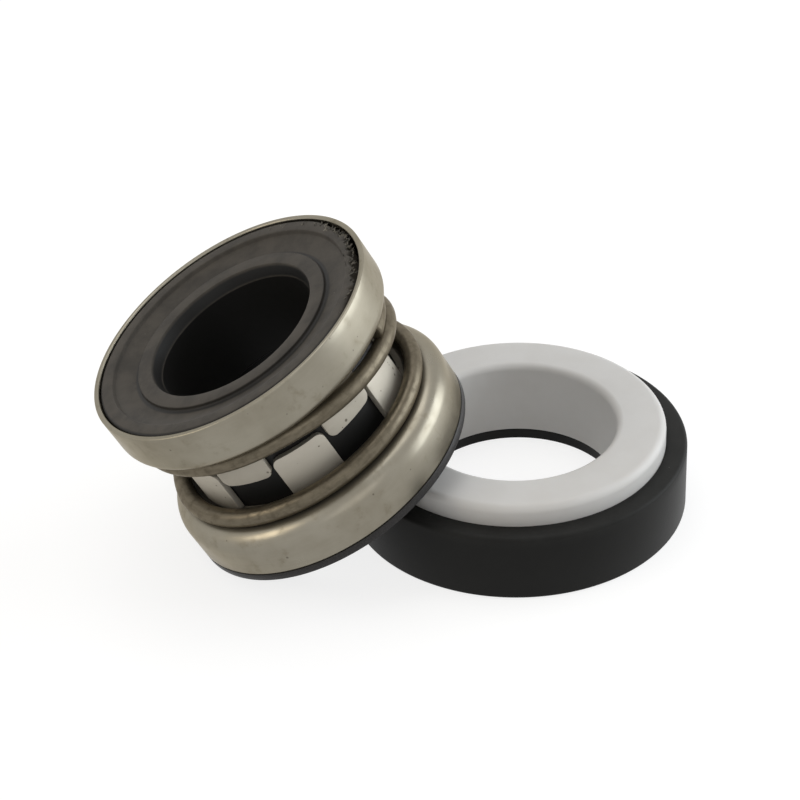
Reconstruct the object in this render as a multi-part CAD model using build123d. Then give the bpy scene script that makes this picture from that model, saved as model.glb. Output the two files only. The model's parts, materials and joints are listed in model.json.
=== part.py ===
from build123d import *
import math
import os

# A component mechanical seal for a rotating shaft: a rotary head, driven by its rubber bellows,
# and the stationary seat that it runs against. The head leans on the seat with its rim on the table.
# Sizes are in millimetres. The head and the seat are each built on their own axis, and placed at the end.

# The shaft and the room that each piece leaves it
shaft_d = 19.05
tail_squeeze = 0.45
carbon_shaft_gap = 0.78
seat_shaft_gap = 1.64

# Seat: a ceramic ring pressed into a rubber cup, both built outwards from the ring's bore
ring_wall = 5.535
ring_stand = 2.40
ring_edge_r = 0.90
ring_bore_edge = 0.35
cup_wall = 2.35
cup_height = 7.95
cup_floor = 1.35
cup_lip_gap = 0.30
cup_edge_r = 0.35

# Bellows: a tail that grips the shaft, a thin fold, and a skirt between the carbon ring and its shell
tail_wall = 2.90
tail_length = 9.20
fold_wall = 0.90
fold_slope = 1.20
skirt_wall = 1.20
skirt_depth = 1.60
face_drop = 0.70
face_edge_r = 0.45
collar_width = 2.25
collar_height = 0.45
collar_root_r = 0.25
mouth_flare = 0.55
mouth_depth = 1.45

# Spring: closed ends and one open turn between them, wound left-handed round the neck
wire_d = 2.00
spring_play = 0.95
spring_gap = 10.15
spring_tip_angle = -24.0
closed_turn = 289.0
open_turn = 285.0
coil_ease = 20.0
coil_step = 15.0

# Retainer: a drawn shell with a rounded shoulder outside the spring, and a notched neck inside it
shell_sheet = 0.70
shell_height = 5.50
shoulder_width = 1.15
shoulder_r = 1.40
neck_root_r = 0.50

# Drive band and retainer neck: tabs of one size, which mesh like the teeth of a dog clutch
tab_count = 6
tab_length = 5.90
tab_slit = 0.45
tab_corner_r = 0.90
slot_floor = 0.40
first_tab_angle = -86.0
band_flange_bend = 0.40

# Spring holder: a pressed cup, open upwards, with the spring under its floor
holder_overhang = 0.775
holder_height = 5.50
holder_sheet = 0.60
holder_corner_r = 1.50
holder_lip_r = 0.20

# Carbon ring: its lapped nose, the rim that shows below the shell, and the body held in rubber
nose_width = 3.395
nose_height = 0.80
rim_inset = 0.10
rim_height = 0.90
rim_edge = 0.10
carbon_body_height = 2.70

# How the pieces lie: clearances, and how far the head leans over
fit_gap = 0.05
band_gap = 0.10
hole_gap = 0.10
lean = 27.285
contact_gap = 0.03

# Radii of the seat, from its bore outwards
shaft_r = shaft_d / 2
ring_bore_r = shaft_r + seat_shaft_gap
ring_r = ring_bore_r + ring_wall
cup_r = ring_r + cup_wall
ring_top = cup_height + ring_stand

# Radii of the head, from the tail's bore outwards
tail_bore_r = (shaft_d - tail_squeeze) / 2
tail_r = tail_bore_r + tail_wall
neck_r = tail_r + band_gap + shell_sheet
coil_r = neck_r + spring_play + wire_d / 2
coil_outer_r = coil_r + wire_d / 2
shell_r = coil_outer_r + shoulder_width
holder_r = coil_outer_r + holder_overhang
skirt_r = shell_r - shell_sheet - fit_gap
rim_r = shell_r - rim_inset
carbon_body_r = skirt_r - skirt_wall
carbon_bore_r = shaft_r + carbon_shaft_gap
nose_r = carbon_bore_r + nose_width

# Heights along the head's axis, from the sealing face of the carbon ring
rim_z = nose_height
shell_z = rim_z + rim_height
spring_seat_z = shell_z + shell_height
holder_floor_z = spring_seat_z + spring_gap
holder_inside_z = holder_floor_z + holder_sheet
head_top_z = holder_floor_z + holder_height
carbon_back_z = shell_z + carbon_body_height
band_flange_z = holder_inside_z + shell_sheet
face_z = head_top_z - face_drop
bore_top_z = face_z - mouth_depth
bore_bottom_z = bore_top_z - tail_length


def turned(profile):
    """A solid of revolution about Z, from a profile in the XZ plane."""
    return revolve(profile, Axis.Z)


def section(*points):
    """A closed face in the XZ plane, from (radius, height) points."""
    corners = [(r, 0, z) for r, z in points]
    return make_face(Polyline(*corners, close=True))


def at_corner(shape, r, z):
    """The vertex of a section that lies nearest to a radius and height."""
    return shape.vertices().sort_by_distance(Vector(r, 0, z))[0]


def rounded(shape, r, z, radius):
    """A section with one corner rounded, as far as its walls allow."""
    return fillet(at_corner(shape, r, z), radius)


def bent(shape, outer, inner, radius, sheet):
    """A section of sheet with one bend: its outer corner, and its inner one a sheet's thickness tighter."""
    shape = rounded(shape, *outer, radius)
    return rounded(shape, *inner, radius - sheet)


def sector(radius, low, high, half_angle, middle_angle):
    """A wedge about Z that cuts one notch out of a tube."""
    a = math.radians(middle_angle - half_angle)
    b = math.radians(middle_angle + half_angle)
    reach = 2 * radius
    outline = Polyline(
        (0, 0, low),
        (reach * math.cos(a), reach * math.sin(a), low),
        (reach * math.cos(b), reach * math.sin(b), low),
        close=True,
    )
    return extrude(make_face(outline), amount=high - low, dir=(0, 0, 1))


def notched(tube, low, high, first_notch, tab_end):
    """A tube's end cut into tabs, with the tabs' free corners rounded."""
    pitch = 360 / tab_count
    slit_angle = math.degrees(tab_slit / neck_r)
    half_notch = (pitch + slit_angle) / 4 + slit_angle / 4
    for k in range(tab_count):
        tube -= sector(neck_r, low, high, half_notch, first_notch + k * pitch)
    ends = [
        edge
        for edge in tube.edges().filter_by(GeomType.LINE)
        if abs(edge.center().Z - tab_end) < tab_slit / 10
        and abs(edge.length - shell_sheet) < shell_sheet / 10
    ]
    return fillet(ends, tab_corner_r)


def seat_cup():
    """The rubber cup, with a floor under the ceramic ring and a plain outside."""
    lip_r = ring_bore_r + cup_lip_gap
    profile = section(
        (lip_r, 0),
        (cup_r, 0),
        (cup_r, cup_height),
        (ring_r, cup_height),
        (ring_r, cup_floor),
        (lip_r, cup_floor),
    )
    profile = rounded(profile, cup_r, 0, cup_edge_r)
    profile = rounded(profile, cup_r, cup_height, cup_edge_r)
    return turned(profile)


def seat_ring():
    """The ceramic ring, lapped on top and rounded at its outer edge."""
    profile = section(
        (ring_bore_r, cup_floor),
        (ring_r, cup_floor),
        (ring_r, ring_top),
        (ring_bore_r, ring_top),
    )
    profile = rounded(profile, ring_r, ring_top, ring_edge_r)
    profile = rounded(profile, ring_bore_r, ring_top, ring_bore_edge)
    return turned(profile)


def carbon_ring():
    """The carbon ring: a narrow sealing nose, a rim below the shell, and a body inside it."""
    profile = section(
        (carbon_bore_r, 0),
        (nose_r, 0),
        (nose_r, rim_z),
        (rim_r, rim_z),
        (rim_r, shell_z),
        (carbon_body_r, shell_z),
        (carbon_body_r, carbon_back_z),
        (carbon_bore_r, carbon_back_z),
    )
    profile = chamfer(at_corner(profile, rim_r, rim_z), rim_edge)
    return turned(profile)


def retainer():
    """The drawn shell, from its bottom edge over the shoulder and spring seat up to the tabs."""
    tab_top = spring_seat_z + tab_length
    under_r = shell_r - shell_sheet
    under_z = spring_seat_z - shell_sheet
    inner_r = neck_r - shell_sheet
    profile = section(
        (shell_r, shell_z),
        (shell_r, spring_seat_z),
        (neck_r, spring_seat_z),
        (neck_r, tab_top),
        (inner_r, tab_top),
        (inner_r, under_z),
        (under_r, under_z),
        (under_r, shell_z),
    )
    profile = bent(profile, (shell_r, spring_seat_z), (under_r, under_z), shoulder_r, shell_sheet)
    root_r = neck_root_r + shell_sheet
    profile = bent(profile, (inner_r, under_z), (neck_r, spring_seat_z), root_r, shell_sheet)
    first_notch = first_tab_angle + 180 / tab_count
    shell = turned(profile)
    return notched(shell, spring_seat_z + slot_floor, tab_top + tab_slit, first_notch, tab_top)


def drive_band():
    """The band round the bellows' tail: tabs at its lower end, a flange on the holder's floor."""
    tab_bottom = holder_floor_z - tab_length
    flange_r = holder_r - holder_corner_r - band_gap
    inner_r = neck_r - shell_sheet
    profile = section(
        (neck_r, tab_bottom),
        (neck_r, holder_inside_z),
        (flange_r, holder_inside_z),
        (flange_r, band_flange_z),
        (inner_r, band_flange_z),
        (inner_r, tab_bottom),
    )
    bend_r = band_flange_bend + shell_sheet
    profile = bent(profile, (inner_r, band_flange_z), (neck_r, holder_inside_z), bend_r, shell_sheet)
    band = turned(profile)
    return notched(band, tab_bottom - tab_slit, holder_floor_z - slot_floor, first_tab_angle, tab_bottom)


def spring_holder():
    """The pressed cup that carries the spring under its floor and the rubber face in its mouth."""
    hole_r = neck_r + band_flange_bend + hole_gap
    inner_r = holder_r - holder_sheet
    profile = section(
        (holder_r, head_top_z),
        (holder_r, holder_floor_z),
        (hole_r, holder_floor_z),
        (hole_r, holder_inside_z),
        (inner_r, holder_inside_z),
        (inner_r, head_top_z),
    )
    floor_corner = (holder_r, holder_floor_z)
    inside_corner = (inner_r, holder_inside_z)
    profile = bent(profile, floor_corner, inside_corner, holder_corner_r, holder_sheet)
    profile = rounded(profile, holder_r, head_top_z, holder_lip_r)
    profile = rounded(profile, inner_r, head_top_z, holder_lip_r)
    return turned(profile)


def coil_drop(angle, drop):
    """How far the open turn has come down at an angle from its start, with eased ends."""
    slope = drop / (open_turn - coil_ease)
    if angle < coil_ease:
        return slope * angle**2 / (2 * coil_ease)
    if angle > open_turn - coil_ease:
        return drop - slope * (open_turn - angle) ** 2 / (2 * coil_ease)
    return slope * (angle - coil_ease / 2)


def coil_slope(angle, drop):
    """How fast the open turn comes down there, for each degree."""
    eased = min(angle, open_turn - angle, coil_ease) / coil_ease
    return eased * drop / (open_turn - coil_ease)


def coil_point(angle, z):
    """A point of the wire's centre line."""
    a = math.radians(angle)
    return Vector(coil_r * math.cos(a), coil_r * math.sin(a), z)


def coil_direction(angle, fall):
    """The way that the wire runs at an angle, where it falls that much for each degree."""
    a = math.radians(angle)
    return Vector(-coil_r * math.sin(a), coil_r * math.cos(a), -math.degrees(fall))


def coil_spring():
    """The wire, swept along a closed turn, the open turn down, and a closed turn on the seat."""
    top_z = holder_floor_z - wire_d / 2 - fit_gap
    bottom_z = spring_seat_z + wire_d / 2 + fit_gap
    drop = top_z - bottom_z
    leaves = spring_tip_angle + closed_turn
    lands = leaves + open_turn
    steps = round(open_turn / coil_step)
    points = []
    directions = []
    for k in range(steps + 1):
        angle = open_turn * k / steps
        points.append(coil_point(leaves + angle, top_z - coil_drop(angle, drop)))
        directions.append(coil_direction(leaves + angle, coil_slope(angle, drop)))
    upper = CenterArc((0, 0, top_z), coil_r, spring_tip_angle, closed_turn)
    lower = CenterArc((0, 0, bottom_z), coil_r, lands, closed_turn)
    path = Wire([upper.edge(), Spline(*points, tangents=directions).edge(), lower.edge()])
    start = Plane(
        origin=coil_point(spring_tip_angle, top_z),
        x_dir=coil_point(spring_tip_angle, 0),
        z_dir=coil_direction(spring_tip_angle, 0),
    )
    return sweep(start * Circle(wire_d / 2), path=path)


def bellows():
    """The moulded rubber: its face, the tail, the thin fold and the skirt, as one piece."""
    face_r = holder_r - holder_sheet - fit_gap
    skirt_top = spring_seat_z - shell_sheet - fit_gap
    collar_r = tail_bore_r + collar_width
    collar_foot_z = face_z - collar_height
    fold_r = tail_r - fold_wall
    fold_bottom = carbon_back_z + skirt_depth
    profile = section(
        (tail_bore_r, bore_bottom_z),
        (tail_bore_r, bore_top_z),
        (tail_bore_r + mouth_flare, face_z),
        (collar_r, face_z),
        (collar_r, collar_foot_z),
        (face_r, collar_foot_z),
        (face_r, band_flange_z),
        (tail_r, band_flange_z),
        (tail_r, skirt_top),
        (skirt_r, skirt_top),
        (skirt_r, shell_z),
        (carbon_body_r, shell_z),
        (carbon_body_r, carbon_back_z),
        (carbon_bore_r, carbon_back_z),
        (carbon_bore_r, fold_bottom),
        (fold_r, fold_bottom + fold_slope),
        (fold_r, bore_bottom_z - fold_slope),
    )
    profile = rounded(profile, collar_r, collar_foot_z, collar_root_r)
    profile = rounded(profile, face_r, collar_foot_z, face_edge_r)
    profile = rounded(profile, skirt_r, skirt_top, shoulder_r - shell_sheet)
    profile = rounded(profile, tail_r, skirt_top, neck_root_r + shell_sheet)
    return turned(profile)


def ring_clearance(centre_x, centre_z):
    """The least gap between the edge of the nose's bore and the ceramic ring's rounded edge."""
    tilt = math.radians(lean)
    least = math.inf
    for degree in range(-180, 180):
        a = math.radians(degree)
        x = centre_x + carbon_bore_r * math.cos(a) * math.cos(tilt)
        y = carbon_bore_r * math.sin(a)
        z = centre_z + carbon_bore_r * math.cos(a) * math.sin(tilt)
        out = math.hypot(x, y) - (ring_r - ring_edge_r)
        up = z - (ring_top - ring_edge_r)
        inside = min(max(out, up), 0)
        least = min(least, math.hypot(max(out, 0), max(up, 0)) + inside - ring_edge_r)
    return least


def leaning():
    """Where the head lies: its rim on the table, and its bore's edge against the ceramic ring."""
    tilt = math.radians(lean)
    rim_centre_z = (rim_r - rim_edge) * math.sin(tilt)
    z = rim_centre_z - rim_z * math.cos(tilt)
    far, near = -2 * (cup_r + shell_r), -carbon_bore_r
    for _ in range(60):
        x = (far + near) / 2
        if ring_clearance(x, z) > contact_gap:
            far = x
        else:
            near = x
    return Pos(far, 0, z) * Rot(0, -lean, 0)


seat = {
    "seat_cup": seat_cup(),
    "seat_ring": seat_ring(),
}
head = {
    "carbon_ring": carbon_ring(),
    "retainer": retainer(),
    "bellows": bellows(),
    "drive_band": drive_band(),
    "coil_spring": coil_spring(),
    "spring_holder": spring_holder(),
}

# The origin is the middle of the footprint of both together, on the table
placed = dict(seat)
head_place = leaning()
for name, piece in head.items():
    placed[name] = head_place * piece
box = Compound([solid for piece in placed.values() for solid in piece.solids()]).bounding_box()
to_middle = Pos(-(box.min.X + box.max.X) / 2, -(box.min.Y + box.max.Y) / 2, -box.min.Z)

os.makedirs("parts", exist_ok=True)
for name, piece in placed.items():
    export_step(to_middle * piece, f"parts/{name}.step")


def in_frame(z):
    """A point of the head's axis, at a height from the sealing face, in the part's own frame."""
    point = (to_middle * head_place * Pos(0, 0, z)).position
    return tuple(round(value, 4) for value in point)


print("overall size", box.size)
print("seat axis", tuple(round(value, 4) for value in to_middle.position))
print("head axis", round(-math.sin(math.radians(lean)), 6), 0, round(math.cos(math.radians(lean)), 6))
print("sealing face centre", in_frame(0))
print("tail bore centre", in_frame((bore_bottom_z + bore_top_z) / 2), "radius", tail_bore_r)
print("room for the tabs to close", round(spring_gap - tab_length - slot_floor, 3))
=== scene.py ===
# %% [markdown]
# A component mechanical seal, dressed for a photograph. The seal has two halves: the seat, a white
# ceramic ring in a black rubber cup, and the rotary head, which leans on it. The frame that is loaded
# here already holds every piece at its true size and place, so this script only gives each piece the
# form and finish that the eye sees. The whole is neither moved nor resized.

import json
import math
import random

import bmesh
import bpy
from mathutils import Matrix, Vector


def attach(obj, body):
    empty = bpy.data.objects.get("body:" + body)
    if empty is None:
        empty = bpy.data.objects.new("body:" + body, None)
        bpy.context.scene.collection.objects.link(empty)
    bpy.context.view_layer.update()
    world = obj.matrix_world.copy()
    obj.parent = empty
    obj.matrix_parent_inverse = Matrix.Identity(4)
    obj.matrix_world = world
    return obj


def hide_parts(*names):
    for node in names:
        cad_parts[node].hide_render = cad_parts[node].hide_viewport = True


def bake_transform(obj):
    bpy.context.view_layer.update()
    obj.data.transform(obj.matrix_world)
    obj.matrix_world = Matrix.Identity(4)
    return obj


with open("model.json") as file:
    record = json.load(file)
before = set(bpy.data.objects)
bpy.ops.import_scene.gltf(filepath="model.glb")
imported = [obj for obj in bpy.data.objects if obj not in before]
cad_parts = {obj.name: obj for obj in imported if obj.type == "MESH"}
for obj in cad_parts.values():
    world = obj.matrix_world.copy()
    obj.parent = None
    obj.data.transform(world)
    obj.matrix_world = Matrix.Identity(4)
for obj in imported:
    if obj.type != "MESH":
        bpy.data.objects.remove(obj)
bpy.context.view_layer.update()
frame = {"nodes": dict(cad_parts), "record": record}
mm = 0.001

# %% [markdown]
# Both halves are round, so it is easiest to model each one upright about the world's Z axis, and to
# lay the finished mesh where the frame says. The seat stands upright already. The head leans, and
# its axis is read from the mount where the shaft goes in. Two small matrices hold the two places.

# %% Where the two halves stand
mounts = {mount["name"]: mount for mount in frame["record"]["mounts"]}
seat_place = Matrix.Translation((mounts["seat_bore"]["pos_m"][0], 0, 0))

head_axis = Vector(mounts["shaft_bore"]["axis"]).normalized()
bore_middle = Vector(mounts["shaft_bore"]["pos_m"])
head_side = Vector((0, 1, 0)).cross(head_axis)


def axis_place(origin):
    """The matrix that lays a mesh modelled about Z along the head's axis."""
    turned = Matrix((head_side, (0, 1, 0), head_axis)).transposed()
    return Matrix.Translation(origin) @ turned.to_4x4()


def reach(node, place):
    """The radii and heights that a CAD node spans about an axis, as (inner, outer, low, high)."""
    back = place.inverted()
    points = [back @ vertex.co for vertex in frame["nodes"][node].data.vertices]
    radii = [math.hypot(point.x, point.y) for point in points]
    heights = [point.z for point in points]
    return min(radii), max(radii), min(heights), max(heights)


sealing_face = bore_middle + head_axis * reach("carbon_ring", axis_place(bore_middle))[2]
head_place = axis_place(sealing_face)
print("the head leans by", round(math.degrees(math.atan2(-head_axis.x, head_axis.z)), 3), "degrees")

# %% [markdown]
# The drawing sizes below are the ones a maker would put on the sketch of each piece. The radii and
# heights that the frame already holds are measured from its nodes, so the two can't drift apart.
# What is left are sheet thicknesses, corner radii and the sizes of the small moulded details.

# %% Sizes
cup_inner, cup_r, cup_low, cup_top = reach("seat_cup", seat_place)
ring_bore, ring_r, ring_low, ring_top = reach("seat_ring", seat_place)
carbon_bore, rim_r, face_low, carbon_back = reach("carbon_ring", head_place)
neck_inner, shell_r, shell_low, tab_top = reach("retainer", head_place)
tail_bore, skirt_r, _, face_z = reach("bellows", head_place)
_, flange_r, tab_low, flange_top = reach("drive_band", head_place)
coil_inner, coil_outer, coil_low, coil_top = reach("coil_spring", head_place)
holder_hole, holder_r, holder_low, holder_top = reach("spring_holder", head_place)

sheet = 0.70 * mm
neck_r = neck_inner + sheet
holder_sheet = 0.60 * mm
spring_seat = 7.20 * mm
slot_floor = 0.40 * mm
corner_row = 1.2 * mm
stamped_edge = 0.07 * mm
sharp_bend = math.radians(50)
wire_r = (coil_outer - coil_inner) / 2
coil_r = (coil_outer + coil_inner) / 2
for name, value in {"cup_r": cup_r, "ring_r": ring_r, "shell_r": shell_r, "neck_r": neck_r,
                    "coil_r": coil_r, "holder_r": holder_r, "face_z": face_z}.items():
    print(name, round(value / mm, 3))

# %% [markdown]
# Every round piece is raised like clay on a wheel: a circle of edges is added, then extruded up, out
# or in, ring by ring. A drawn outline could be spun instead, but rings are quicker to read, and they
# leave clean loops for the bevels.

# %% Raising a round piece
sides = 180


def start_fresh():
    """Leaves edit mode and lets go of everything that is selected."""
    if bpy.context.object and bpy.context.object.mode != "OBJECT":
        bpy.ops.object.mode_set(mode="OBJECT")
    bpy.ops.object.select_all(action="DESELECT")


def raise_rings(name, rings, closed):
    """Extrudes a circle of edges through a list of (radius, height), and leaves it in edit mode."""
    start_fresh()
    bpy.ops.mesh.primitive_circle_add(vertices=sides, radius=rings[0][0], location=(0, 0, 0))
    obj = bpy.context.object
    obj.name = name
    obj.data.name = name
    bpy.ops.object.mode_set(mode="EDIT")
    bpy.ops.mesh.select_all(action="SELECT")
    bpy.ops.transform.translate(value=(0, 0, rings[0][1]))
    path = rings + rings[:1] if closed else rings
    for (r, z), (next_r, next_z) in zip(path, path[1:]):
        bpy.ops.mesh.extrude_region_move(TRANSFORM_OT_translate={"value": (0, 0, next_z - z)})
        bpy.ops.transform.resize(value=(next_r / r, next_r / r, 1), center_override=(0, 0, next_z))
    bpy.ops.mesh.select_all(action="SELECT")
    bpy.ops.mesh.remove_doubles(threshold=0.001 * mm)
    bpy.ops.mesh.normals_make_consistent(inside=False)
    print(name, "is raised from", len(rings), "rings of", sides, "points")
    return obj


# %% [markdown]
# Faces and edges are picked by their place, as a hand would pick them. Their numbers in the mesh could
# be used as well, but those change with every edit, and a place doesn't.

# %% Picking and rounding


def pick(obj, kind, wanted):
    """Selects the verts, edges or faces whose vertices all pass a test, and counts them."""
    mode = {"verts": "VERT", "edges": "EDGE", "faces": "FACE"}[kind]
    bpy.ops.mesh.select_mode(type=mode)
    bpy.ops.mesh.select_all(action="DESELECT")
    mesh = bmesh.from_edit_mesh(obj.data)
    count = 0
    for part in getattr(mesh, kind):
        points = [part.co] if kind == "verts" else [vertex.co for vertex in part.verts]
        if all(wanted(point) for point in points):
            part.select_set(True)
            count += 1
    bmesh.update_edit_mesh(obj.data)
    return count


def at_ring(r, z):
    """A test for points on the ring of one radius and height."""
    near = 0.02 * mm
    return lambda point: abs(math.hypot(point.x, point.y) - r) < near and abs(point.z - z) < near


def round_ring(obj, r, z, size, segments=4):
    """Rounds the ring of edges at one radius and height."""
    pick(obj, "edges", at_ring(r, z))
    bpy.ops.mesh.bevel(offset=size, segments=segments, profile=0.5, affect="EDGES")


# %% [markdown]
# A pressed sheet is raised as one wall, and modifiers give it its thickness and its softened edges.
# Every finished piece is then shaded and laid into the frame. The place of each vertex is noted
# before that, so that the patterns stay on the piece when the head leans or the spring is pressed.

# %% Sheets, and laying a piece in the frame


def apply_modifier(obj, kind, **settings):
    """Adds a modifier, sets it and applies it, with the object out of edit mode."""
    start_fresh()
    obj.select_set(True)
    bpy.context.view_layer.objects.active = obj
    modifier = obj.modifiers.new(kind.lower(), kind)
    for key, value in settings.items():
        setattr(modifier, key, value)
    bpy.ops.object.modifier_apply(modifier=modifier.name)


def soften_sheet(obj, thickness, side, width, segments):
    """Gives a raised sheet its thickness on one side, and then softens its sharp edges."""
    apply_modifier(obj, "SOLIDIFY", thickness=thickness, offset=side, use_even_offset=True)
    apply_modifier(obj, "BEVEL", width=width, segments=segments, limit_method="ANGLE",
                   angle_limit=sharp_bend)


def lay_in_frame(obj, place):
    """Shades a finished piece, notes where each vertex is at rest, in mm, and lays the mesh in place."""
    start_fresh()
    obj.select_set(True)
    bpy.context.view_layer.objects.active = obj
    bpy.ops.object.shade_smooth_by_angle(angle=math.radians(32))
    rest = obj.data.attributes.new("rest", "FLOAT_VECTOR", "POINT")
    for vertex, value in zip(obj.data.vertices, rest.data):
        value.vector = vertex.co / mm
    obj.data.transform(place)
    obj.data.update()
    print(obj.name, len(obj.data.polygons), "faces")


# %% [markdown]
# The rubber cup is moulded, and its outside is soft at both ends. Its floor runs under the ceramic
# ring. It could be cut from a solid cylinder, but rings give the lip, wall and floor in one go.

# %% Rubber cup
cup_lip = 0.45 * mm
cup_mouth = 0.12 * mm
cup_foot = 0.35 * mm
cup = raise_rings("cup_rubber", [
    (cup_inner, cup_low),
    (cup_r, cup_low),
    (cup_r, cup_top * 0.5),
    (cup_r, cup_top),
    (ring_r, cup_top),
    (ring_r, ring_low),
    (cup_inner, ring_low),
], closed=True)
round_ring(cup, cup_r, cup_top, cup_lip, 5)
round_ring(cup, ring_r, cup_top, cup_mouth, 2)
round_ring(cup, cup_r, cup_low, cup_foot, 4)
lay_in_frame(cup, seat_place)
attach(cup, "base")
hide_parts("seat_cup")

# %% [markdown]
# The ceramic ring is pressed from powder, fired, and lapped on top. Both its upper edges are well
# rounded. A flat chamfer would be quicker, but the rounds must be true, because each of them shows
# as a soft change of light.

# %% Ceramic ring
lapped_r = ring_r - 0.02 * mm
outer_round = 0.90 * mm
bore_round = 0.85 * mm
lower_round = 0.25 * mm
ceramic = raise_rings("ring_ceramic", [
    (ring_bore, ring_low),
    (lapped_r, ring_low),
    (lapped_r, ring_top),
    (ring_bore, ring_top),
], closed=True)
round_ring(ceramic, lapped_r, ring_top, outer_round, 8)
round_ring(ceramic, ring_bore, ring_top, bore_round, 8)
round_ring(ceramic, ring_bore, ring_low, lower_round, 3)
lay_in_frame(ceramic, seat_place)
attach(ceramic, "base")
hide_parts("seat_ring")

# %% [markdown]
# The carbon ring is machined. Its narrow nose runs on the ceramic, and its rim is the charcoal band
# below the steel shell. It could be spun from a drawn outline. Rings keep a loop at each of its steps
# for the bevels, which stay small, because machined edges are only broken.

# %% Carbon ring
nose_r = 13.70 * mm
nose_top = 0.80 * mm
body_r = 15.15 * mm
rim_edge = 0.10 * mm
back_edge = 0.06 * mm
nose_edge = 0.05 * mm
bore_edge = 0.08 * mm
carbon = raise_rings("carbon_ring_face", [
    (carbon_bore, face_low),
    (nose_r, face_low),
    (nose_r, nose_top),
    (rim_r, nose_top),
    (rim_r, shell_low),
    (body_r, shell_low),
    (body_r, carbon_back),
    (carbon_bore, carbon_back),
], closed=True)
round_ring(carbon, rim_r, nose_top, rim_edge, 2)
round_ring(carbon, rim_r, shell_low, back_edge, 2)
round_ring(carbon, nose_r, face_low, nose_edge, 2)
round_ring(carbon, carbon_bore, face_low, bore_edge, 2)
lay_in_frame(carbon, head_place)
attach(carbon, "base")
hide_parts("carbon_ring")

# %% [markdown]
# Two stamped sheets carry the turning force: six tabs rise from the shell's neck, and six more hang
# from the band, like two crowns pushed into each other. A crown is a tube whose notches are cut away.
# Boolean cutters would leave poor faces, so here the notch's faces are simply picked and deleted,
# and each free corner is rounded with a vertex bevel while the sheet is still thin.

# %% Crown of tabs
tab_count = 6
first_tab = math.radians(-86)
tab_pitch = math.tau / tab_count
tab_half = math.radians(14)
tab_corner = 0.90 * mm
side_step = math.tau / sides


def from_tab(point, middle):
    """The angle between a point and the nearest tab's middle line."""
    turn = (math.atan2(point.y, point.x) - middle) % tab_pitch
    return min(turn, tab_pitch - turn)


def cut_crown(obj, low, high, middle, free_end, row):
    """Cuts notches between the tabs that stand between two heights, and rounds their free corners."""
    reach_in = 0.05 * mm
    pick(obj, "faces", lambda point: low - reach_in < point.z < high + reach_in
         and from_tab(point, middle) > tab_half - side_step / 4
         and math.hypot(point.x, point.y) < neck_r + reach_in)
    bpy.ops.mesh.delete(type="FACE")
    for step in (1, 2):
        line = tab_half - step * side_step
        pick(obj, "edges", lambda point: abs(from_tab(point, middle) - line) < side_step / 4
             and min(free_end, row) - reach_in < point.z < max(free_end, row) + reach_in)
        bpy.ops.mesh.dissolve_edges(use_verts=True)
    corners = pick(obj, "verts", lambda point: abs(point.z - free_end) < reach_in
                   and abs(from_tab(point, middle) - tab_half) < side_step / 4)
    bpy.ops.mesh.bevel(offset=tab_corner, segments=7, profile=0.5, affect="VERTICES")
    print(obj.name, "has", corners, "rounded tab corners")


print("one tab every", round(math.degrees(tab_pitch)), "degrees")

# %% [markdown]
# The retainer is one drawn sheet: a shell round the carbon, a rounded shoulder, the flat where the
# spring sits, and the neck with its rising tabs. Only its outside is raised. Solidify then gives it
# the sheet's thickness inwards, and a small bevel stands for the softened edge that stamping leaves.

# %% Retainer
shoulder_r = 2.10 * mm
root_r = 0.38 * mm
wall_r = shell_r - 0.10 * mm
drawn_in = 0.12 * mm
drawn_up = 0.25 * mm
retainer = raise_rings("retainer_shell", [
    (wall_r - drawn_in, shell_low),
    (wall_r, shell_low + drawn_up),
    (wall_r, spring_seat),
    (neck_r, spring_seat),
    (neck_r, spring_seat + slot_floor),
    (neck_r, tab_top - corner_row),
    (neck_r, tab_top),
], closed=False)
cut_crown(retainer, spring_seat + slot_floor, tab_top, first_tab, tab_top, tab_top - corner_row)
round_ring(retainer, wall_r, spring_seat, shoulder_r, 12)
round_ring(retainer, neck_r, spring_seat, root_r, 4)
soften_sheet(retainer, sheet, -1, stamped_edge, 2)
lay_in_frame(retainer, head_place)
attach(retainer, "base")
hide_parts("retainer")

# %% [markdown]
# The drive band is the other crown. Its tabs hang down, and its top turns out into a flange that
# lies on the holder's floor, under the rubber. The retainer's crown could be copied and turned over,
# but the band is a sheet of its own, with other heights, so it is raised and cut afresh.

# %% Drive band
band_top = flange_top - sheet
flange_root = 0.40 * mm
band = raise_rings("drive_band_sheet", [
    (neck_r, tab_low),
    (neck_r, tab_low + corner_row),
    (neck_r, holder_low - slot_floor),
    (neck_r, band_top),
    (flange_r, band_top),
], closed=False)
cut_crown(band, tab_low, holder_low - slot_floor, first_tab + tab_pitch / 2,
          tab_low, tab_low + corner_row)
round_ring(band, neck_r, band_top, flange_root, 4)
soften_sheet(band, sheet, 1, stamped_edge, 2)
lay_in_frame(band, head_place)
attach(band, "drive_end")
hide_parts("drive_band")

# %% [markdown]
# The holder is a shallow pressed cup with a thin lip. Both its walls could be raised as rings, but
# one wall with Solidify keeps the sheet even round the corner. The lip's edge is what shows as a pale
# line round the rubber, so its bevel is wider than the tabs'.

# %% Spring holder
holder_corner = 1.50 * mm
lip_row = 1.0 * mm
lip_round = 0.20 * mm
holder = raise_rings("holder_cup", [
    (holder_hole, holder_low),
    (holder_r, holder_low),
    (holder_r, holder_top - lip_row),
    (holder_r, holder_top),
], closed=False)
round_ring(holder, holder_r, holder_low, holder_corner, 8)
soften_sheet(holder, holder_sheet, -1, lip_round, 4)
lay_in_frame(holder, head_place)
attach(holder, "drive_end")
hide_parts("spring_holder")

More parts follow.
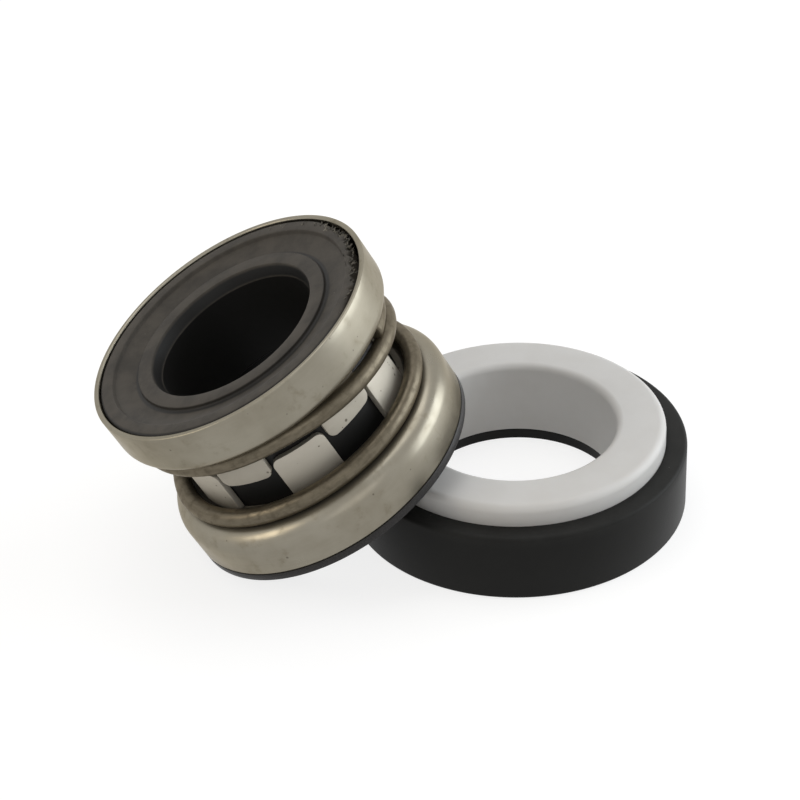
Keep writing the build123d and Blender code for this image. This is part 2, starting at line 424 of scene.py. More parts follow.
# %% [markdown]
# The bellows is one rubber moulding: a face with a raised collar round the bore, the tail that
# grips the shaft, a thin fold, and a skirt round the carbon. It is raised in one closed loop of
# rings, outside and inside together, so that the wall has its true thickness everywhere. The bore's
# mouth keeps a crisp edge above and below, because the photograph shows both as thin lines. Outside
# the collar the face rises to a soft step, and its outer band lies just below the holder's lip.

# %% Bellows: sizes
tail_r = 12.20 * mm
fold_wall = 0.90 * mm
collar_r = 11.55 * mm
collar_foot = face_z - 0.45 * mm
mouth_r = tail_bore + 0.55 * mm
bore_top = face_z - 1.45 * mm
bore_bottom = bore_top - 9.20 * mm
face_r = holder_r - holder_sheet - 0.05 * mm
dish_r = 14.26 * mm
outer_band_r = 14.42 * mm
dish_top = holder_top - 0.62 * mm
outer_face = holder_top - 0.14 * mm
skirt_top = spring_seat - sheet - 0.05 * mm
fold_low = carbon_back + 1.60 * mm
fold_slope = 1.20 * mm
bore_row = 3.1 * mm
tail_row = 4.0 * mm
collar_root = 0.6 * mm
edge_round = 0.50 * mm
step_foot = 0.06 * mm
step_round = 0.12 * mm
foot_round = 0.25 * mm
collar_round = 0.12 * mm
mouth_round = 0.08 * mm
tail_root = 1.00 * mm
print("the bellows' bore is", round((bore_top - bore_bottom) / mm, 2), "mm deep")

# %% Bellows: rings
bellows = raise_rings("bellows_rubber", [
    (tail_bore, bore_bottom),
    (tail_bore, bore_bottom + bore_row),
    (tail_bore, bore_bottom + 2 * bore_row),
    (tail_bore, bore_top),
    (mouth_r, face_z),
    (collar_r, face_z),
    (collar_r, collar_foot),
    (collar_r + collar_root, collar_foot),
    (dish_r, dish_top),
    (outer_band_r, outer_face),
    (face_r, outer_face),
    (face_r, flange_top),
    (tail_r, flange_top),
    (tail_r, flange_top - tail_row),
    (tail_r, flange_top - 2 * tail_row),
    (tail_r, skirt_top),
    (skirt_r, skirt_top),
    (skirt_r, shell_low),
    (body_r, shell_low),
    (body_r, carbon_back),
    (carbon_bore, carbon_back),
    (carbon_bore, fold_low),
    (tail_r - fold_wall, fold_low + fold_slope),
    (tail_r - fold_wall, (fold_low + bore_bottom) / 2),
    (tail_r - fold_wall, bore_bottom - fold_slope),
], closed=True)

# %% Bellows: rounded edges
round_ring(bellows, face_r, outer_face, edge_round, 6)
round_ring(bellows, dish_r, dish_top, step_foot, 2)
round_ring(bellows, outer_band_r, outer_face, step_round, 3)
round_ring(bellows, collar_r, collar_foot, foot_round, 4)
round_ring(bellows, collar_r, face_z, collar_round, 3)
round_ring(bellows, mouth_r, face_z, mouth_round, 3)
round_ring(bellows, tail_bore, bore_top, mouth_round, 3)
round_ring(bellows, skirt_r, skirt_top, shoulder_r - sheet, 6)
round_ring(bellows, tail_r, skirt_top, tail_root, 4)

# %% [markdown]
# Round a fifth of its edge the rubber is torn away from the lip, which leaves a dark gap. A Displace
# modifier with a noise texture could tear it, but evenly and all round. So the edge's points are
# pulled inwards, one angle at a time and each by its own amount, only where the photograph shows it.

# %% Torn edge
random.seed(7)
torn_middle = math.radians(-4)
torn_half = math.radians(38)
torn_steps = 18
torn_band = 0.55 * mm
for k in range(-torn_steps, torn_steps + 1):
    turn = torn_middle + torn_half * k / torn_steps
    turn = round(turn / side_step) * side_step
    depth = (1 - (k / (torn_steps + 1)) ** 2) * random.uniform(0.65, 1.15) * mm
    pick(bellows, "verts", lambda point: point.z > outer_face - torn_band
         and math.hypot(point.x, point.y) > face_r - torn_band
         and abs(math.atan2(point.y, point.x) - turn) < side_step / 4)
    bpy.ops.transform.translate(value=(-depth * math.cos(turn), -depth * math.sin(turn), 0))
print("the edge is torn over", round(math.degrees(2 * torn_half)), "degrees")

# %% [markdown]
# When the spring is pressed, the bellows' skirt stays with the shell, and its face goes with the
# holder. Two meshes would part in the fold. So there is one mesh.

# %% Bellows into the frame
lay_in_frame(bellows, head_place)
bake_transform(bellows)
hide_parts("bellows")

# %% [markdown]
# The torn rubber leaves short shreds in the gap. One shred is modelled: a small hexagon, extruded
# three times, and drawn in and bent a little each time, so that it tapers and curls up. Cones would
# be quicker, but they look like thorns. The shred is then copied, each copy with its own mesh.

# %% One shred
shred_r = 0.10 * mm
shred_length = 0.50 * mm
start_fresh()
bpy.ops.mesh.primitive_circle_add(vertices=6, radius=shred_r, fill_type="NGON", location=(0, 0, 0))
shred = bpy.context.object
bpy.ops.object.mode_set(mode="EDIT")
bpy.ops.mesh.select_all(action="SELECT")
bent = 0.0
risen = 0.0
for bend, rise, draw_in in ((0.02, 0.20, 0.85), (0.06, 0.17, 0.60), (0.10, 0.13, 0.30)):
    bpy.ops.mesh.extrude_region_move(TRANSFORM_OT_translate={"value": (-bend * mm, 0, rise * mm)})
    bent += bend * mm
    risen += rise * mm
    bpy.ops.transform.resize(value=(draw_in, draw_in, 1), center_override=(-bent, 0, risen))
bpy.ops.mesh.select_all(action="SELECT")
bpy.ops.mesh.normals_make_consistent(inside=False)
print("one shred", round(risen / mm, 2), "mm long")

# %% [markdown]
# Each copy gets its own size, turn and lift. The random numbers are seeded, so that every run tears
# the rubber the same way. Joined to one mesh, the shreds are one piece, which rides with the face.

# %% Torn flash
random.seed(11)
shred_count = 110
tear_start, tear_end, tear_peak = -40, 66, 12
start_fresh()
shreds = [shred]
for _ in range(shred_count - 1):
    copy = shred.copy()
    copy.data = shred.data.copy()
    bpy.context.scene.collection.objects.link(copy)
    shreds.append(copy)
for copy in shreds:
    turn = math.radians(random.triangular(tear_start, tear_end, tear_peak))
    length = random.uniform(0.25, 0.80) * mm
    lift = math.radians(random.uniform(-25, 20))
    swing = math.radians(random.gauss(0, 32))
    foot_r = face_r - random.uniform(0.05, 0.60) * mm - length
    height = outer_face - random.uniform(0.04, 0.24) * mm
    width = random.uniform(0.05, 0.12) * mm / shred_r
    copy.location = (foot_r * math.cos(turn), foot_r * math.sin(turn), height)
    copy.rotation_euler = (0, math.pi / 2 - lift, turn + swing)
    copy.scale = (width, width, length / shred_length)
    copy.select_set(True)
bpy.context.view_layer.objects.active = shred
bpy.ops.object.join()
flash = bpy.context.object
flash.name = "rubber_flash"
flash.data.name = "rubber_flash"
bpy.ops.object.transform_apply(location=True, rotation=True, scale=True)
lay_in_frame(flash, head_place)
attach(flash, "drive_end")

# %% [markdown]
# The spring is one drawn wire with two closed ends and a single open turn between them. A circle of
# edges is spun round the axis: first level, then in small steps that each come down a little, then
# level again. The open turn eases in and out, as a real coil does where it leaves its closed end.
# A curve with a round bevel would also do, but its ends would come out flat and sharp.
# The photograph shows the coil a third of a millimetre smaller in radius than the frame's own.

# %% Coil spring: sizes and the open turn
tip_angle = math.radians(-24)
closed_turn = math.radians(289)
open_turn = math.radians(285)
ease = math.radians(20)
wire_sides = 28
level_step = math.radians(3)
cut_round = 0.32 * mm
top_z = coil_top - wire_r
bottom_z = coil_low + wire_r
wound_r = coil_r - 0.35 * mm


def coil_drop(turn, drop):
    """How far the wire has come down after a part of the open turn."""
    slope = drop / (open_turn - ease)
    if turn < ease:
        return slope * turn ** 2 / (2 * ease)
    if turn > open_turn - ease:
        return drop - slope * (open_turn - turn) ** 2 / (2 * ease)
    return slope * (turn - ease / 2)


print("the open turn comes down by", round((top_z - bottom_z) / mm, 2), "mm")

# %% Coil spring: the spun wire
start_fresh()
start = Vector((wound_r * math.cos(tip_angle), wound_r * math.sin(tip_angle), top_z))
bpy.ops.mesh.primitive_circle_add(vertices=wire_sides, radius=wire_r, location=start,
                                  rotation=(math.pi / 2, 0, tip_angle))
spring = bpy.context.object
spring.name = "spring_coil"
spring.data.name = "spring_coil"
bpy.ops.object.transform_apply(location=True, rotation=True, scale=True)
bpy.ops.object.mode_set(mode="EDIT")
bpy.ops.mesh.select_all(action="SELECT")


def spin_wire(turn, steps, drop=None):
    """Spins the wire's open end round the axis, and lowers it after each step where it comes down."""
    for k in range(steps):
        bpy.ops.mesh.spin(steps=1, angle=-turn / steps, center=(0, 0, 0), axis=(0, 0, 1))
        if drop:
            fall = coil_drop(turn * (k + 1) / steps, drop) - coil_drop(turn * k / steps, drop)
            bpy.ops.transform.translate(value=(0, 0, -fall))


spin_wire(closed_turn, round(closed_turn / level_step))
spin_wire(open_turn, round(open_turn / level_step), top_z - bottom_z)
spin_wire(closed_turn, round(closed_turn / level_step))
print("the wire is spun over", round(math.degrees(2 * closed_turn + open_turn)), "degrees")

# %% Coil spring: its two ends


def cap_wire(obj, low, high):
    """Closes the wire's open end that lies between two heights, and rounds the cut."""
    bpy.ops.mesh.select_mode(type="EDGE")
    bpy.ops.mesh.select_all(action="DESELECT")
    mesh = bmesh.from_edit_mesh(obj.data)
    for edge in mesh.edges:
        if edge.is_boundary and all(low < vertex.co.z < high for vertex in edge.verts):
            edge.select_set(True)
    bmesh.update_edit_mesh(obj.data)
    bpy.ops.mesh.edge_face_add()
    bpy.ops.mesh.bevel(offset=cut_round, segments=3, profile=0.5, affect="EDGES")


middle_z = (top_z + bottom_z) / 2
cap_wire(spring, middle_z, holder_top)
cap_wire(spring, face_low, middle_z)
bpy.ops.mesh.select_all(action="SELECT")
bpy.ops.mesh.normals_make_consistent(inside=False)
lay_in_frame(spring, head_place)
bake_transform(spring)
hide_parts("coil_spring")

# %% [markdown]
# Finishes. Small node groups hold what several materials share: a coordinate that runs round an
# axis, soft smudges, and sparse specks. They put out values and masks only, and each material places
# them with its own scale and amount, then mixes its colours itself.

# %% Node tools: nodes and numbers


def node(tree, kind, inputs=(), **settings):
    """Adds a node, sets it, and links or fills its inputs, given as (socket, value or output) pairs."""
    made = tree.nodes.new(kind)
    for key, value in settings.items():
        setattr(made, key, value)
    for socket, value in inputs:
        if isinstance(value, bpy.types.NodeSocket):
            tree.links.new(value, made.inputs[socket])
        else:
            made.inputs[socket].default_value = value
    return made


def calc(tree, operation, a, b=0.0, clamp=False):
    """A Math node, and its output."""
    made = node(tree, "ShaderNodeMath", [(0, a), (1, b)], operation=operation, use_clamp=clamp)
    return made.outputs[0]


def product(tree, value, *others):
    """Several values multiplied."""
    for other in others:
        value = calc(tree, "MULTIPLY", value, other)
    return value


def total(tree, value, *others):
    """Several values added up."""
    for other in others:
        value = calc(tree, "ADD", value, other)
    return value


def ramp(tree, value, low, high, low_out=0.0, high_out=1.0):
    """A value from one range fitted to another, smoothly."""
    made = node(tree, "ShaderNodeMapRange", [("Value", value), ("From Min", low), ("From Max", high),
                                             ("To Min", low_out), ("To Max", high_out)],
                interpolation_type="SMOOTHSTEP")
    return made.outputs[0]


def mix(tree, factor, a, b):
    """Two colours mixed by a factor."""
    made = node(tree, "ShaderNodeMix", [(0, factor), (6, a), (7, b)], data_type="RGBA")
    return made.outputs[2]


# %% Node tools: noise and groups


def noise(tree, place, scale, detail, roughness=0.5):
    """Noise at a place, as a value."""
    made = node(tree, "ShaderNodeTexNoise", [("Vector", place), ("Scale", scale), ("Detail", detail),
                                             ("Roughness", roughness)])
    return made.outputs[0]


def new_group(name, inputs, outputs):
    """An empty node group with named float inputs and outputs, and its two end nodes."""
    tree = bpy.data.node_groups.new(name, "ShaderNodeTree")
    for label, value in inputs:
        socket = tree.interface.new_socket(label, in_out="INPUT", socket_type="NodeSocketFloat")
        socket.default_value = value
    for label, kind in outputs:
        tree.interface.new_socket(label, in_out="OUTPUT", socket_type=kind)
    return tree, tree.nodes.new("NodeGroupInput"), tree.nodes.new("NodeGroupOutput")


def place_group(tree, group, **values):
    """Places a node group in a material, with its own values."""
    made = tree.nodes.new("ShaderNodeGroup")
    made.node_tree = group
    for key, value in values.items():
        made.inputs[key.replace("_", " ")].default_value = value
    return made


# %% [markdown]
# Drawn, spun and lapped surfaces all carry fine marks that run round the axis. The first group gives
# each point its way round, its radius and its height in millimetres. The way round is a point on a
# small circle and not an angle, so it has no seam. All of it is read from the attribute that holds
# each vertex's place at rest, so that marks stay on the rubber and the wire when the spring is pressed.

# %% Group: round the axis


def rest_place(tree):
    """The place at rest, in millimetres from the piece's own axis and foot."""
    made = node(tree, "ShaderNodeAttribute", attribute_name="rest")
    return made.outputs["Vector"]


round_group, _, out = new_group("Round the axis", [], [
    ("Round", "NodeSocketVector"), ("Radius", "NodeSocketFloat"),
    ("Height", "NodeSocketFloat"), ("Straight", "NodeSocketVector")])
straight = rest_place(round_group)
apart = node(round_group, "ShaderNodeSeparateXYZ", [(0, straight)])
x_square = product(round_group, apart.outputs["X"], apart.outputs["X"])
y_square = product(round_group, apart.outputs["Y"], apart.outputs["Y"])
radius = calc(round_group, "SQRT", total(round_group, x_square, y_square))
joined = node(round_group, "ShaderNodeCombineXYZ", [
    (0, calc(round_group, "DIVIDE", apart.outputs["X"], radius)),
    (1, calc(round_group, "DIVIDE", apart.outputs["Y"], radius)),
    (2, radius),
])
round_group.links.new(joined.outputs[0], out.inputs["Round"])
round_group.links.new(radius, out.inputs["Radius"])
round_group.links.new(apart.outputs["Z"], out.inputs["Height"])
round_group.links.new(straight, out.inputs["Straight"])


def marks_round(tree, axis, around, across, detail=4.0):
    """Noise drawn out round an axis: how fast it changes along the marks, and across them."""
    stretched = node(tree, "ShaderNodeMapping", [("Vector", axis.outputs["Round"]),
                                                 ("Scale", (around, around, across))])
    made = node(tree, "ShaderNodeTexNoise", [
        ("Vector", stretched.outputs[0]), ("W", product(tree, axis.outputs["Height"], across)),
        ("Scale", 1.0), ("Detail", detail)], noise_dimensions="4D")
    return made.outputs[0]


print("groups", [group.name for group in bpy.data.node_groups])

# %% [markdown]
# Specks are sparse: a Voronoi texture gives every cell a random colour, and only the cells above a
# threshold keep their dot. The same group makes pits in steel, dirt on the tabs and dust on rubber.

# %% Group: specks
specks_group, ins, out = new_group("Specks", [("Scale", 2.0), ("Share", 0.1), ("Size", 0.2)],
                                   [("Mask", "NodeSocketFloat")])
cells = node(specks_group, "ShaderNodeTexVoronoi", [
    ("Vector", rest_place(specks_group)), ("Scale", ins.outputs["Scale"])])
chance = node(specks_group, "ShaderNodeSeparateColor", [(0, cells.outputs["Color"])])
kept = calc(specks_group, "LESS_THAN", chance.outputs[0], ins.outputs["Share"])
smallest = 0.3
hardness = 2.2
own_size = product(specks_group, ins.outputs["Size"], total(specks_group, chance.outputs[1], smallest))
shape = calc(specks_group, "SUBTRACT", 1.0,
             calc(specks_group, "DIVIDE", cells.outputs["Distance"], own_size), clamp=True)
soft = product(specks_group, calc(specks_group, "MULTIPLY", shape, hardness, clamp=True), kept)
specks_group.links.new(soft, out.inputs["Mask"])
print("specks are set by", ins.outputs.keys()[:3])

# %% [markdown]
# Smudges are broad, soft changes of tone: handling marks on steel, bloom on rubber. Two scales of
# noise are multiplied, so the marks come in clusters and don't look like an even pattern.

# %% Group: smudges
smudge_group, ins, out = new_group("Smudges", [("Scale", 0.3), ("Detail", 4.0)],
                                   [("Mask", "NodeSocketFloat")])
times_finer = 4.3
place = rest_place(smudge_group)
broad = noise(smudge_group, place, ins.outputs["Scale"], ins.outputs["Detail"])
fine = noise(smudge_group, place, product(smudge_group, ins.outputs["Scale"], times_finer), 3.0)
both = product(smudge_group, ramp(smudge_group, broad, 0.35, 0.7),
               ramp(smudge_group, fine, 0.3, 0.75, 0.55, 1.0))
smudge_group.links.new(both, out.inputs["Mask"])
print("smudges are set by", ins.outputs.keys()[:2])

# %% [markdown]
# Each material starts from the same shader, with its plain values on the shader's own sockets. The
# shader could sit in a group as well, but then the export to other programs could not read it.

# %% Material start


def new_material(name, **values):
    """A material with one Principled shader, and its node tree."""
    material = bpy.data.materials.new(name)
    material.use_nodes = True
    tree = material.node_tree
    shader = tree.nodes["Principled BSDF"]
    for key, value in values.items():
        shader.inputs[key.replace("_", " ")].default_value = value
    return material, tree, shader


def bump(tree, shader, height, strength, distance):
    """Feeds a height to the shader's normal."""
    made = node(tree, "ShaderNodeBump", [("Strength", strength), ("Distance", distance), ("Height", height)])
    tree.links.new(made.outputs[0], shader.inputs["Normal"])


def wear_finish(obj, material):
    """Gives a piece its only material."""
    obj.data.materials.clear()
    obj.data.materials.append(material)
    print(obj.name, "wears", material.name)


# %% [markdown]
# Drawn stainless steel, dulled by handling. Its tone is a warm grey. Broad smudges change its gloss,
# a brownish film lies in patches, the drawing die left faint marks round the axis, and a few soft
# pits are scattered over it. The tabs are paler and duller, with specks of dirt. Beside and under
# the coil the seat is painted a dark brown, which is painted shade, and its gloss is dulled there.
# All of it is noise; an image of real steel would be the other way.

# %% Steel: where it is worn, and where shade is painted
tab_grey = (0.455, 0.425, 0.365, 1)
dirt_brown = (0.085, 0.072, 0.050, 1)
pit_brown = (0.070, 0.060, 0.045, 1)
# Painted shade: the dark brown laid on the seat beside and under the coil.
coil_shade_brown = (0.045, 0.038, 0.028, 1)


def tabs_mask(tree, axis):
    """A mask that is 1 on the tabs, which stand at the neck's radius."""
    return ramp(tree, axis.outputs["Radius"], (neck_r / mm) + 0.25, (neck_r / mm) + 0.05)


def coil_shade_mask(tree, axis):
    """A mask that is 1 on the spring seat, as far out as the coil reaches, where shade is painted."""
    inside = ramp(tree, axis.outputs["Radius"], (coil_r / mm) + 0.9, (coil_r / mm) - 0.1)
    above = ramp(tree, axis.outputs["Height"], (spring_seat / mm) + 0.9, (spring_seat / mm) + 0.2)
    return product(tree, inside, above)


# %% Material: stainless steel


def steel(name, light, dark, rough, marks, pit_share):
    """A drawn or pressed stainless sheet, with marks round the head's axis."""
    material, tree, shader = new_material(name, Specular_Tint=(0.86, 0.81, 0.72, 1))
    axis = place_group(tree, round_group)
    die = marks_round(tree, axis, 6.0, 3.0)
    grain = noise(tree, axis.outputs["Straight"], 4.0, 6.0)
    film = noise(tree, axis.outputs["Straight"], 0.45, 7.0, 0.62)
    smudges = place_group(tree, smudge_group, Scale=0.16, Detail=5.0).outputs["Mask"]
    pits = place_group(tree, specks_group, Scale=0.95, Share=pit_share, Size=0.13).outputs["Mask"]
    dirt = place_group(tree, specks_group, Scale=1.7, Share=0.22, Size=0.27).outputs["Mask"]
    on_tabs = tabs_mask(tree, axis)
    coil_shade = coil_shade_mask(tree, axis)

    brown = (dark[0] * 0.72, dark[1] * 0.66, dark[2] * 0.55, 1)
    tone = mix(tree, product(tree, smudges, 0.7), light, dark)
    tone = mix(tree, ramp(tree, film, 0.55, 0.72, 0.0, 0.45), tone, brown)
    tone = mix(tree, ramp(tree, die, 0.40, 0.75, 0.0, marks), tone, dark)
    tone = mix(tree, on_tabs, tone, tab_grey)
    tone = mix(tree, product(tree, dirt, on_tabs, 0.8), tone, dirt_brown)
    tone = mix(tree, product(tree, pits, 0.55), tone, pit_brown)
    # Painted shade: the seat beside and under the coil is darkened.
    tone = mix(tree, product(tree, coil_shade, 0.85), tone, coil_shade_brown)
    tree.links.new(tone, shader.inputs["Base Color"])

    dull = total(tree, product(tree, smudges, 0.09), ramp(tree, film, 0.4, 0.75, -0.03, 0.08),
                 product(tree, pits, 0.2), product(tree, on_tabs, 0.22),
                 product(tree, coil_shade, 0.25), rough)
    tree.links.new(dull, shader.inputs["Roughness"])
    covered = calc(tree, "MAXIMUM", on_tabs, coil_shade)
    tree.links.new(ramp(tree, covered, 0.0, 1.0, 1.0, 0.60), shader.inputs["Metallic"])
    height = total(tree, product(tree, die, marks), product(tree, grain, 0.35), product(tree, pits, -0.6))
    bump(tree, shader, height, 0.22, 0.02 * mm)
    return material


shell_steel = steel("Drawn shell steel", (0.262, 0.243, 0.198, 1), (0.205, 0.185, 0.142, 1),
                    rough=0.30, marks=0.20, pit_share=0.10)
holder_steel = steel("Pressed holder steel", (0.258, 0.239, 0.193, 1), (0.195, 0.176, 0.134, 1),
                     rough=0.33, marks=0.15, pit_share=0.12)
band_steel = steel("Stamped band steel", (0.48, 0.47, 0.44, 1), (0.38, 0.365, 0.33, 1),
                   rough=0.52, marks=0.10, pit_share=0.14)
wear_finish(retainer, shell_steel)
wear_finish(holder, holder_steel)
wear_finish(band, band_steel)

# %% [markdown]
# Spring wire is darker and browner than the sheet: heat from coiling and old oil leave a patina.
# Drawing leaves it smooth along its length, so the marks are faint and the blotches are broad.

# %% Material: spring wire
wire, tree, shader = new_material("Dull spring wire", Metallic=0.70, Specular_Tint=(0.72, 0.66, 0.56, 1))
axis = place_group(tree, round_group)
drawn = marks_round(tree, axis, 9.0, 2.6, 3.0)
crust = noise(tree, axis.outputs["Straight"], 1.1, 8.0, 0.6)
patina = (0.142, 0.122, 0.088, 1)
drawn_brown = (0.076, 0.063, 0.043, 1)
crust_brown = (0.058, 0.048, 0.033, 1)
tone = mix(tree, ramp(tree, drawn, 0.35, 0.7, 0.0, 0.55), patina, drawn_brown)
tone = mix(tree, ramp(tree, crust, 0.45, 0.72, 0.0, 0.5), tone, crust_brown)
tree.links.new(tone, shader.inputs["Base Color"])
tree.links.new(ramp(tree, crust, 0.3, 0.8, 0.31, 0.50), shader.inputs["Roughness"])
bump(tree, shader, total(tree, product(tree, drawn, 0.4), crust), 0.22, 0.04 * mm)
wear_finish(spring, wire)

# %% [markdown]
# Moulded rubber is black, and handling greys it where it can be touched. So the material takes a
# black ground and lays a warm dusty bloom over it, by a mask. On the bellows the mask comes from the
# height and the radius: the face is greyed, and its bore and the tail stay black. The collar's foot
# and the edge beside the holder's lip are kept dark, which is painted shade, and a thin line of bloom
# on the bore's top edge is a painted highlight that also stands for a worn edge. It could be painted
# by hand, but then it would not follow the sizes above.

# %% Material: rubber
dust_grey = (0.22, 0.21, 0.18, 1)


def rubber(name, black, bloom, mask_of, rough, gloss, dust_share):
    """Moulded rubber whose bloom and dust lie where a mask lets them."""
    material, tree, shader = new_material(name, Specular_IOR_Level=gloss)
    axis, mask = mask_of(tree)
    fine = noise(tree, axis.outputs["Straight"], 5.0, 4.0)
    cloud = noise(tree, axis.outputs["Straight"], 0.35, 6.0, 0.6)
    dust = place_group(tree, specks_group, Scale=1.0, Share=dust_share, Size=0.09).outputs["Mask"]
    patchy = product(tree, ramp(tree, cloud, 0.30, 0.65, 0.55, 1.0), mask)
    tone = mix(tree, patchy, black, bloom)
    tone = mix(tree, product(tree, dust, mask, 0.35), tone, dust_grey)
    tree.links.new(tone, shader.inputs["Base Color"])
    tree.links.new(ramp(tree, mask, 0.0, 1.0, rough, rough + 0.12), shader.inputs["Roughness"])
    bump(tree, shader, total(tree, fine, cloud), 0.25, 0.03 * mm)
    return material


# %% Rubber: where the bloom, the painted shade and the painted highlight lie


def face_mask(tree):
    """The head's axis group, and a mask that is 1 on the bellows' face and 0 in its bore and below, with
    painted shade at the collar's foot and by the lip, and a painted highlight at the bore's top edge.
    """
    axis = place_group(tree, round_group)
    out_from_axis = axis.outputs["Radius"]
    high = ramp(tree, axis.outputs["Height"], (collar_foot / mm) - 0.6, (collar_foot / mm) - 0.15)
    wide = ramp(tree, out_from_axis, (mouth_r / mm) - 0.15, (mouth_r / mm) - 0.03)
    # Painted shade: the bloom is held off the foot of the collar and off the edge by the holder's lip.
    from_foot = calc(tree, "ABSOLUTE", calc(tree, "SUBTRACT", out_from_axis, (collar_r / mm) + 0.22))
    foot_shade = ramp(tree, from_foot, 0.10, 0.38, 0.15, 1.0)
    lip_shade = ramp(tree, out_from_axis, (face_r / mm) - 0.22, (face_r / mm) - 0.48, 0.05, 1.0)
    # Painted highlight, partly a worn edge: bloom on a thin line at the bore's top edge.
    edge = ramp(tree, out_from_axis, (tail_bore / mm) + 0.10, (tail_bore / mm) - 0.02)
    line = ramp(tree, axis.outputs["Height"], (bore_top / mm) - 0.10, (bore_top / mm) + 0.02)
    return axis, calc(tree, "MAXIMUM", product(tree, wide, foot_shade, lip_shade, high),
                      product(tree, edge, line))


def torn_mask(tree):
    """The head's axis group, and a mask that pales the torn shreds in small patches."""
    axis = place_group(tree, round_group)
    patches = noise(tree, axis.outputs["Straight"], 1.6, 2.0)
    return axis, ramp(tree, patches, 0.35, 0.60, 0.2, 1.0)


def top_mask(tree):
    """The seat's axis group, and a mask that rises a little towards the cup's top edge."""
    axis = place_group(tree, round_group)
    return axis, ramp(tree, axis.outputs["Height"], (cup_top / mm) - 1.6, (cup_top / mm), 0.25, 1.0)


bellows_rubber = rubber("Moulded bellows rubber", (0.0105, 0.0103, 0.0098, 1), (0.066, 0.059, 0.050, 1),
                        face_mask, rough=0.45, gloss=0.18, dust_share=0.20)
torn_rubber = rubber("Torn rubber", (0.020, 0.019, 0.017, 1), (0.200, 0.185, 0.155, 1),
                     torn_mask, rough=0.50, gloss=0.20, dust_share=0.20)
cup_rubber = rubber("Moulded cup rubber", (0.007, 0.007, 0.0065, 1), (0.015, 0.015, 0.014, 1),
                    top_mask, rough=0.42, gloss=0.12, dust_share=0.10)
wear_finish(bellows, bellows_rubber)
wear_finish(flash, torn_rubber)
wear_finish(cup, cup_rubber)

# %% [markdown]
# Fired ceramic is a soft off-white with hardly any pattern. A touch of light goes into it, so its
# shadows stay warm, and the lapped face has the faintest marks round the bore. Plain white would be
# quicker, but it looks like paper.

# %% Material: ceramic
ceramic_white, tree, shader = new_material("Lapped ceramic", Specular_IOR_Level=0.35, Subsurface_Weight=0.15,
                                           Subsurface_Scale=0.6 * mm, Subsurface_Radius=(1.0, 0.9, 0.8))
axis = place_group(tree, round_group)
cloud = noise(tree, axis.outputs["Straight"], 0.22, 3.0)
lapped = marks_round(tree, axis, 7.0, 5.0)
fired_white = (0.62, 0.61, 0.595, 1)
cloud_white = (0.60, 0.588, 0.57, 1)
tone = mix(tree, ramp(tree, cloud, 0.35, 0.65), fired_white, cloud_white)
tree.links.new(tone, shader.inputs["Base Color"])
tree.links.new(ramp(tree, lapped, 0.3, 0.7, 0.38, 0.46), shader.inputs["Roughness"])
bump(tree, shader, lapped, 0.06, 0.01 * mm)
wear_finish(ceramic, ceramic_white)

# %% [markdown]
# Carbon graphite is charcoal with a slight metallic gloss, and its turned surface is very fine. A
# plain dark grey would look like plastic, so a fifth of it is metal, and its gloss varies.

# %% Material: carbon
carbon_grey, tree, shader = new_material("Machined carbon", Metallic=0.20, Specular_IOR_Level=0.2)
axis = place_group(tree, round_group)
turning = marks_round(tree, axis, 6.0, 7.0)
grain = noise(tree, axis.outputs["Straight"], 6.0, 5.0)
charcoal = (0.022, 0.021, 0.021, 1)
graphite = (0.036, 0.034, 0.033, 1)
tone = mix(tree, ramp(tree, grain, 0.35, 0.7), charcoal, graphite)
tree.links.new(tone, shader.inputs["Base Color"])
tree.links.new(ramp(tree, turning, 0.3, 0.7, 0.40, 0.52), shader.inputs["Roughness"])
bump(tree, shader, turning, 0.15, 0.01 * mm)
wear_finish(carbon, carbon_grey)

# %% [markdown]
# The stage: a pale floor that takes the shadow, and white where the camera or a reflection looks
# past the object. The floor is matt, and part of it glows for those rays only, which lifts it to
# white and leaves the shadow soft. No extra light falls on the object for that.

# %% Floor
floor_size = 6.0
floor_drop = 0.02 * mm


def straight_or_mirrored(tree):
    """1 for the camera's own rays and for reflections, and 0 for the rays that light the object."""
    path = node(tree, "ShaderNodeLightPath")
    mirrored = calc(tree, "MAXIMUM", path.outputs["Is Glossy Ray"], path.outputs["Is Transmission Ray"])
    return calc(tree, "MAXIMUM", path.outputs["Is Camera Ray"], mirrored)


start_fresh()
bpy.ops.mesh.primitive_plane_add(size=floor_size, location=(0, 0, -floor_drop))
floor = bpy.context.object
floor.name = "floor"
floor_white = bpy.data.materials.new("Pale floor")
floor_white.use_nodes = True
tree = floor_white.node_tree
tree.nodes.remove(tree.nodes["Principled BSDF"])
seen = straight_or_mirrored(tree)
matt = node(tree, "ShaderNodeBsdfDiffuse", [("Color", (0.80, 0.80, 0.80, 1))])
shaded = node(tree, "ShaderNodeBsdfDiffuse", [("Color", (0.30, 0.30, 0.30, 1))])
glow = node(tree, "ShaderNodeEmission", [("Color", (1, 1, 1, 1)), ("Strength", 0.78)])
both = node(tree, "ShaderNodeAddShader", [(0, shaded.outputs[0]), (1, glow.outputs[0])])
chosen = node(tree, "ShaderNodeMixShader", [(0, seen), (1, matt.outputs[0]), (2, both.outputs[0])])
tree.links.new(chosen.outputs[0], tree.nodes["Material Output"].inputs["Surface"])
floor.data.materials.append(floor_white)
print("the floor is", floor_size, "m wide")

# %% Background
room_light = 0.42
world = bpy.data.worlds.new("Studio")
bpy.context.scene.world = world
world.use_nodes = True
tree = world.node_tree
seen = straight_or_mirrored(tree)
room = tree.nodes["Background"]
room.inputs["Color"].default_value = (1.0, 0.99, 0.97, 1)
room.inputs["Strength"].default_value = room_light
white = node(tree, "ShaderNodeBackground", [("Color", (1, 1, 1, 1)), ("Strength", 1.0)])
chosen = node(tree, "ShaderNodeMixShader", [(0, seen), (1, room.outputs[0]), (2, white.outputs[0])])
tree.links.new(chosen.outputs[0], tree.nodes["World Output"].inputs["Surface"])
print("the room's light has strength", room_light)

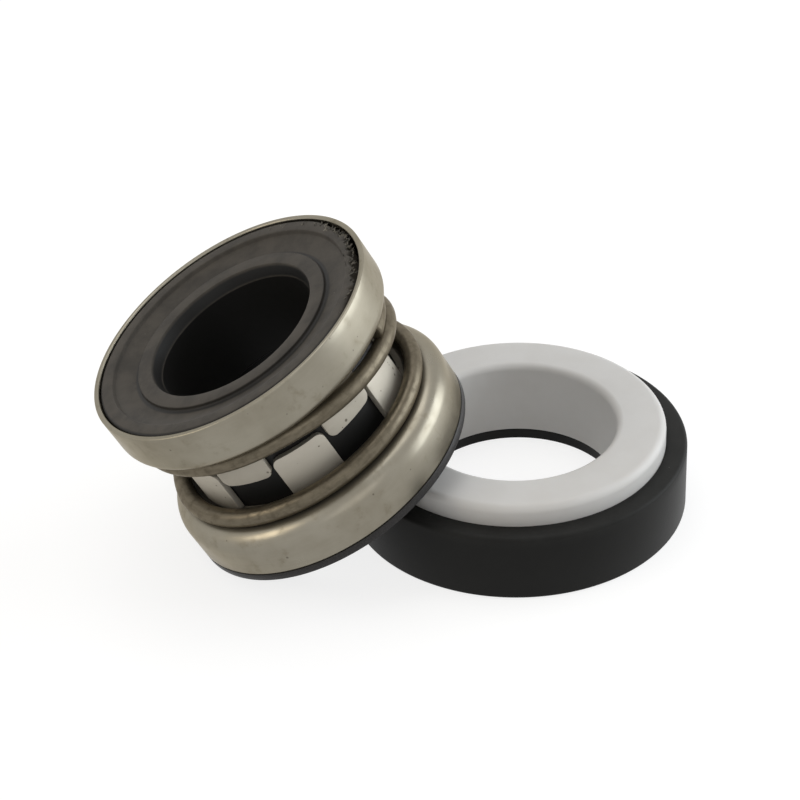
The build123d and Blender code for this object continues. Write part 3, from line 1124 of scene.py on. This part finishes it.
# %% [markdown]
# Four soft boxes: a broad one overhead and behind, a cool one low at the right, which brightens that
# side of the steel, a small warm one at the left, which draws a line on the shoulder, and a weak fill.
# Steel shows its lamps, so their size and place matter more here than their power.

# %% Lamps
lamp_target = Vector((0, 0, 12 * mm))


def soft_box(name, place, size, power, colour=(1.0, 0.985, 0.96)):
    """A square area lamp that looks at the seal."""
    light = bpy.data.lights.new(name, "AREA")
    light.size = size
    light.energy = power
    light.color = colour
    obj = bpy.data.objects.new(name, light)
    bpy.context.scene.collection.objects.link(obj)
    obj.location = place
    aim = lamp_target - Vector(place)
    obj.rotation_euler = aim.to_track_quat("-Z", "Y").to_euler()
    print(name, power, "W")


soft_box("overhead", (-0.05, 0.15, 0.55), 0.40, 0.8)
soft_box("right side", (0.50, 0.02, 0.17), 0.48, 2.4, (0.91, 0.96, 1.0))
soft_box("left front", (-0.54, -0.10, 0.22), 0.24, 0.60, (1.0, 0.88, 0.70))
soft_box("front fill", (-0.05, -0.60, 0.35), 0.40, 0.35)

# %% [markdown]
# The camera stands where the photograph was taken from, worked out from the ellipses of the seal's
# round edges. It looks down at about 34 degrees through a long lens, and is rolled a little. Placed
# by eye it would nearly match, but then no size could be compared with the photograph.

# %% Camera
camera_place = Vector((-29.830, -211.580, 156.664)) * mm
camera_down = math.radians(33.558)
camera_heading = math.radians(-8.156)
camera_roll = math.radians(-2.672)
lens = 105.14

camera_data = bpy.data.cameras.new("camera")
camera_data.lens = lens
camera_data.sensor_width = 36.0
camera_data.clip_start = 0.01
camera = bpy.data.objects.new("camera", camera_data)
bpy.context.scene.collection.objects.link(camera)
camera.matrix_world = (
    Matrix.Translation(camera_place)
    @ Matrix.Rotation(camera_heading, 4, "Z")
    @ Matrix.Rotation(math.pi / 2 - camera_down, 4, "X")
    @ Matrix.Rotation(camera_roll, 4, "Z")
)
bpy.context.scene.camera = camera
bpy.context.scene.view_settings.view_transform = "Standard"
print("the camera stands", round(camera_place.length, 3), "m away")
